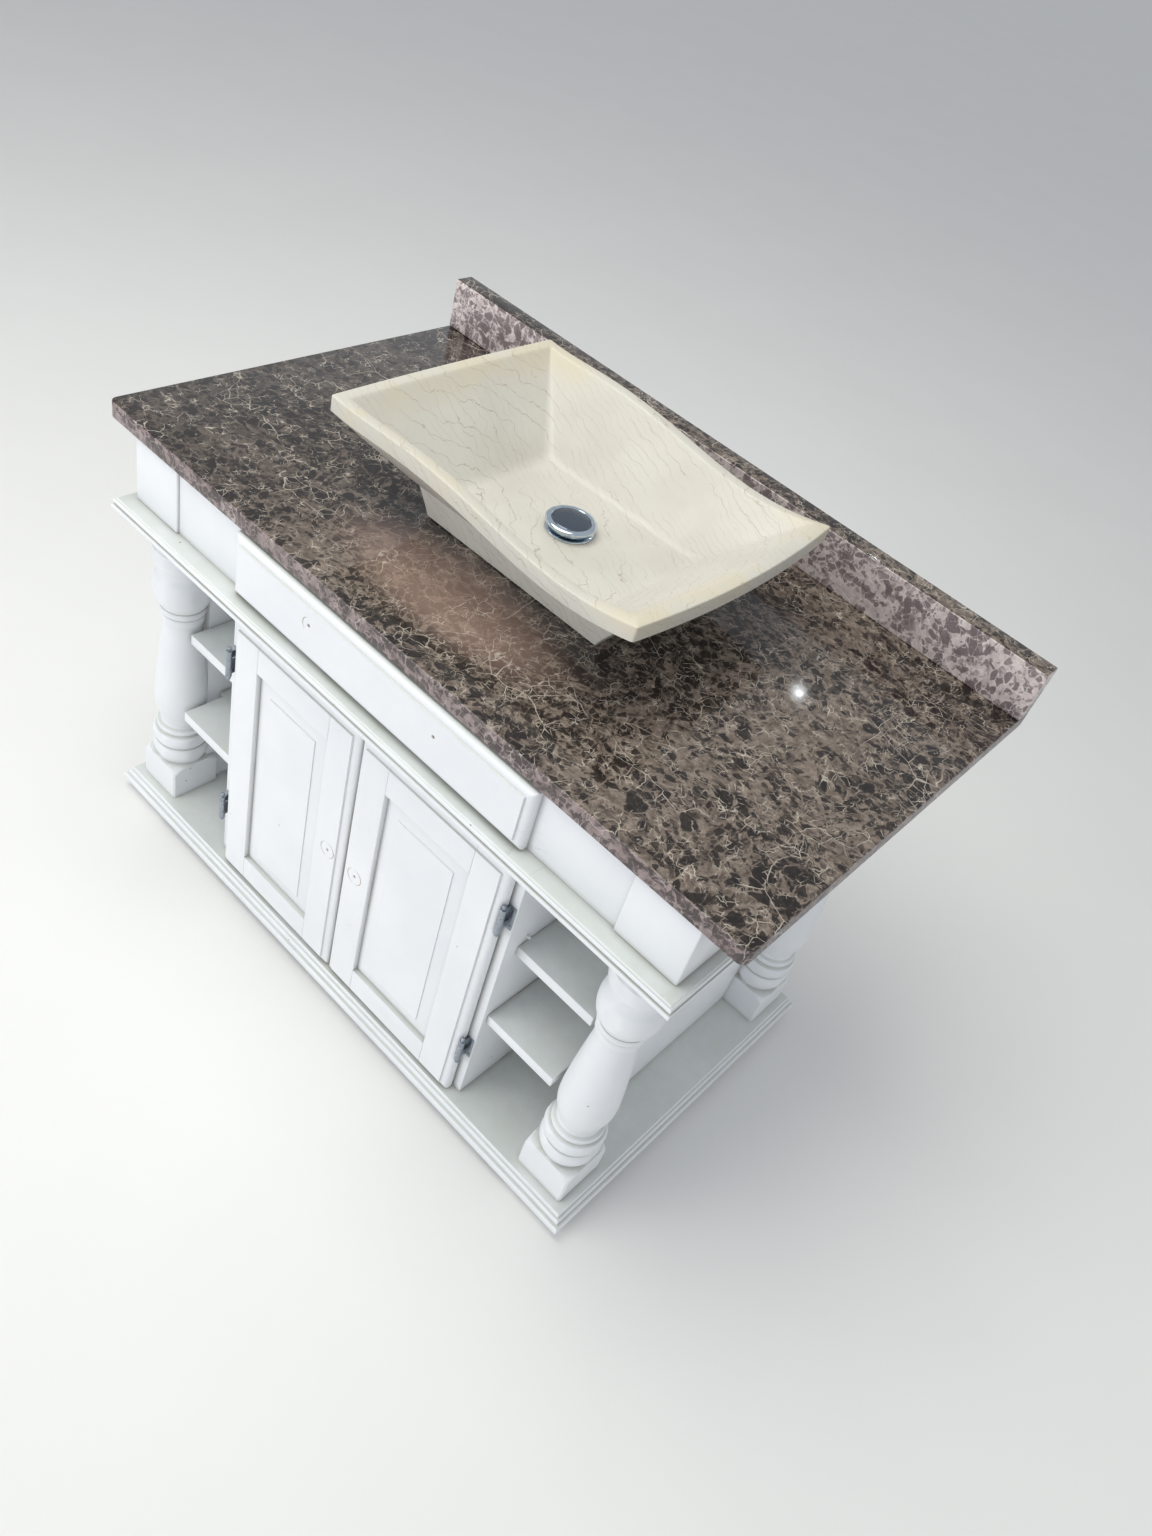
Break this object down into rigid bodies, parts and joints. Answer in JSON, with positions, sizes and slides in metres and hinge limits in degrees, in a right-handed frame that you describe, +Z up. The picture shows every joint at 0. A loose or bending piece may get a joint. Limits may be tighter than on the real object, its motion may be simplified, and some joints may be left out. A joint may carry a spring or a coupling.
{
  "type": "vessel sink on vanity",
  "caption": "Boat-shaped stone vessel sink on a painted wooden vanity with a marble top and upstand, turned corner columns, a two-door cabinet, open side shelves and a drawer.",
  "frame": {"origin": "on the floor, at the bottom centre of the bounding box", "axes": "+Z up, +X to the right of someone facing the vanity, +Y towards the wall behind it"},
  "size_m": [1.2, 0.718, 0.9081],
  "materials": {
    "paint": "white satin paint, a little worn",
    "timber": "bare pine, sanded",
    "marble": "polished dark brown marble with pale veins",
    "limestone": "honed cream limestone with fine wavy veins",
    "chrome": "polished",
    "pewter": "dark plated",
    "rubber": "matte"
  },
  "bodies": {
    "root": {"apron_back": "paint", "apron_front_left": "paint", "apron_front_right": "paint", "apron_side_left": "paint", "apron_side_right": "paint", "back_panel": "paint", "base_board": "paint", "basin": "limestone", "cabinet_side_left": "paint", "cabinet_side_right": "paint", "column_back_left": "paint", "column_back_right": "paint", "column_front_left": "paint", "column_front_right": "paint", "drawer_guide_left": "timber", "drawer_guide_right": "timber", "foot_back_left": "paint", "foot_back_right": "paint", "foot_front_left": "paint", "foot_front_right": "paint", "hinge_left_lower_frame_leaf": "pewter", "hinge_left_upper_frame_leaf": "pewter", "hinge_right_lower_frame_leaf": "pewter", "hinge_right_upper_frame_leaf": "pewter", "middle_board": "paint", "outer_side_panel_left": "paint", "outer_side_panel_right": "paint", "post_back_left": "paint", "post_back_right": "paint", "post_front_left": "paint", "post_front_right": "paint", "shelf_lower_left": "paint", "shelf_lower_right": "paint", "shelf_upper_left": "paint", "shelf_upper_right": "paint", "stone_top": "marble", "stone_upstand": "marble", "waste_body": "chrome", "waste_gasket": "rubber", "waste_nut": "chrome"},
    "door_left": {"door_left_bottom_rail": "paint", "door_left_hinge_stile": "paint", "door_left_meeting_stile": "paint", "door_left_panel": "paint", "door_left_top_rail": "paint", "hinge_left_lower_door_leaf": "pewter", "hinge_left_upper_door_leaf": "pewter"},
    "door_right": {"door_right_bottom_rail": "paint", "door_right_hinge_stile": "paint", "door_right_meeting_stile": "paint", "door_right_panel": "paint", "door_right_top_rail": "paint", "hinge_right_lower_door_leaf": "pewter", "hinge_right_upper_door_leaf": "pewter"},
    "drawer": {"drawer_back": "timber", "drawer_bottom": "timber", "drawer_front": "paint", "drawer_side_left": "timber", "drawer_side_right": "timber"},
    "waste_cap": {"waste_cap": "chrome"}
  },
  "joints": [
    {"name": "door_left_hinge", "type": "hinge", "parent": "root", "child": "door_left", "pos_m": [-0.293, -0.3376, 0.3275], "axis": [0, 0, -1], "range_deg": [0, 150]},
    {"name": "door_right_hinge", "type": "hinge", "parent": "root", "child": "door_right", "pos_m": [0.293, -0.3376, 0.3275], "axis": [0, 0, 1], "range_deg": [0, 150]},
    {"name": "drawer_slide", "type": "slide", "parent": "root", "child": "drawer", "axis": [0, -1, 0], "range_m": [0, 0.2]},
    {"name": "waste_cap_slide", "type": "slide", "parent": "root", "child": "waste_cap", "axis": [0, 0, 1], "range_m": [-0.007, 0]}
  ]
}
